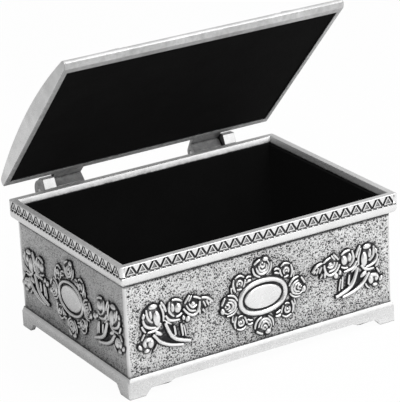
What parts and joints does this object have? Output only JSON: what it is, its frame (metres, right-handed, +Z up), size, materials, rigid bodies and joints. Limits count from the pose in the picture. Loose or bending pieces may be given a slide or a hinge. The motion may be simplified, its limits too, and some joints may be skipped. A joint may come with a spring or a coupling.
{
  "type": "rosary box",
  "caption": "Small rectangular cast-metal rosary box on bracket feet with a barrel-topped hinged lid, rose relief on its walls and dark flocked linings.",
  "frame": {"origin": "on the ground under the centre of the whole part at rest: midway along the width, and midway between the front of the rim and the back of the hinge ears", "axes": "+X to the right along the width, +Y from the front to the hinged back, +Z up; the lid is stored open at 46.7 degrees"},
  "size_m": [0.12, 0.0968, 0.1208],
  "materials": {
    "antique_silver": "antiqued bright silver plate over a zinc alloy casting, dark in the hollows of the relief",
    "pin_steel": "plain drawn steel pin",
    "flock": "short matt black flocking on board"
  },
  "bodies": {
    "box": {"base_frame": "antique_silver", "bottom_plate": "antique_silver", "front_wall": "antique_silver", "back_wall": "antique_silver", "left_wall": "antique_silver", "right_wall": "antique_silver", "rim_frame": "antique_silver", "left_hinge_ear": "antique_silver", "right_hinge_ear": "antique_silver", "left_hinge_pin": "pin_steel", "right_hinge_pin": "pin_steel", "floor_lining": "flock", "front_lining": "flock", "back_lining": "flock", "left_lining": "flock", "right_lining": "flock"},
    "lid": {"lid_shell": "antique_silver", "left_hinge_lug": "antique_silver", "right_hinge_lug": "antique_silver", "lid_lining": "flock"}
  },
  "joints": [
    {"name": "lid_hinge", "type": "hinge", "parent": "box", "child": "lid", "pos_m": [0, 0.04417, 0.0501], "axis": [-1, 0, 0], "range_deg": [-46.7, 48.3]}
  ]
}
